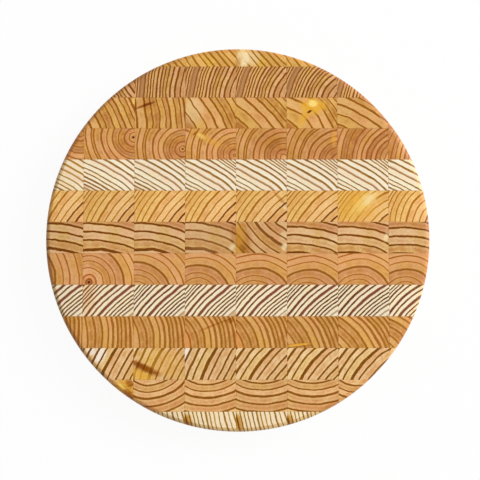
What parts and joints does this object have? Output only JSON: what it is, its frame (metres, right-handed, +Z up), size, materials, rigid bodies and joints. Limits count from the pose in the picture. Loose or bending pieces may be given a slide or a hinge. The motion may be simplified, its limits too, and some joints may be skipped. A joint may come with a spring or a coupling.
{
  "type": "round cheese board",
  "caption": "Round end-grain cheese board glued up from rows of wooden blocks, flat on both faces with rounded-over edges.",
  "frame": {"origin": "under the middle of the disc, on the flat face that it rests on", "axes": "+Z up, square to both flat faces; +X along the laths, from left to right; +Y across the laths, towards the back"},
  "size_m": [0.3, 0.3, 0.025],
  "materials": {
    "back_lath_6_wood": "oiled honey-coloured end grain",
    "back_lath_5_wood": "oiled rosy brown end grain",
    "back_lath_4_wood": "oiled tan end grain",
    "back_lath_3_wood": "oiled russet end grain",
    "back_lath_2_wood": "oiled cream sapwood end grain",
    "back_lath_1_wood": "oiled golden end grain",
    "middle_lath_wood": "oiled beige end grain",
    "front_lath_1_wood": "oiled orange-tan end grain",
    "front_lath_2_wood": "oiled ivory end grain with dark rings",
    "front_lath_3_wood": "oiled amber-brown end grain",
    "front_lath_4_wood": "oiled straw-coloured end grain",
    "front_lath_5_wood": "oiled apricot end grain",
    "front_lath_6_wood": "oiled blond end grain"
  },
  "bodies": {
    "root": {"back_lath_1_left_1": "back_lath_1_wood", "back_lath_1_left_2": "back_lath_1_wood", "back_lath_1_right_1": "back_lath_1_wood", "back_lath_1_right_2": "back_lath_1_wood", "back_lath_2_left_1": "back_lath_2_wood", "back_lath_2_left_2": "back_lath_2_wood", "back_lath_2_right_1": "back_lath_2_wood", "back_lath_2_right_2": "back_lath_2_wood", "back_lath_3_left_1": "back_lath_3_wood", "back_lath_3_left_2": "back_lath_3_wood", "back_lath_3_right_1": "back_lath_3_wood", "back_lath_3_right_2": "back_lath_3_wood", "back_lath_4_left_1": "back_lath_4_wood", "back_lath_4_left_2": "back_lath_4_wood", "back_lath_4_right_1": "back_lath_4_wood", "back_lath_4_right_2": "back_lath_4_wood", "back_lath_5_left_1": "back_lath_5_wood", "back_lath_5_left_2": "back_lath_5_wood", "back_lath_5_right_1": "back_lath_5_wood", "back_lath_5_right_2": "back_lath_5_wood", "back_lath_6_left_1": "back_lath_6_wood", "back_lath_6_right_1": "back_lath_6_wood", "front_lath_1_left_1": "front_lath_1_wood", "front_lath_1_left_2": "front_lath_1_wood", "front_lath_1_right_1": "front_lath_1_wood", "front_lath_1_right_2": "front_lath_1_wood", "front_lath_2_left_1": "front_lath_2_wood", "front_lath_2_left_2": "front_lath_2_wood", "front_lath_2_right_1": "front_lath_2_wood", "front_lath_2_right_2": "front_lath_2_wood", "front_lath_3_left_1": "front_lath_3_wood", "front_lath_3_left_2": "front_lath_3_wood", "front_lath_3_right_1": "front_lath_3_wood", "front_lath_3_right_2": "front_lath_3_wood", "front_lath_4_left_1": "front_lath_4_wood", "front_lath_4_left_2": "front_lath_4_wood", "front_lath_4_right_1": "front_lath_4_wood", "front_lath_4_right_2": "front_lath_4_wood", "front_lath_5_left_1": "front_lath_5_wood", "front_lath_5_left_2": "front_lath_5_wood", "front_lath_5_right_1": "front_lath_5_wood", "front_lath_5_right_2": "front_lath_5_wood", "front_lath_6_left_1": "front_lath_6_wood", "front_lath_6_right_1": "front_lath_6_wood", "middle_lath_left_1": "middle_lath_wood", "middle_lath_left_2": "middle_lath_wood", "middle_lath_right_1": "middle_lath_wood", "middle_lath_right_2": "middle_lath_wood"}
  },
  "joints": []
}
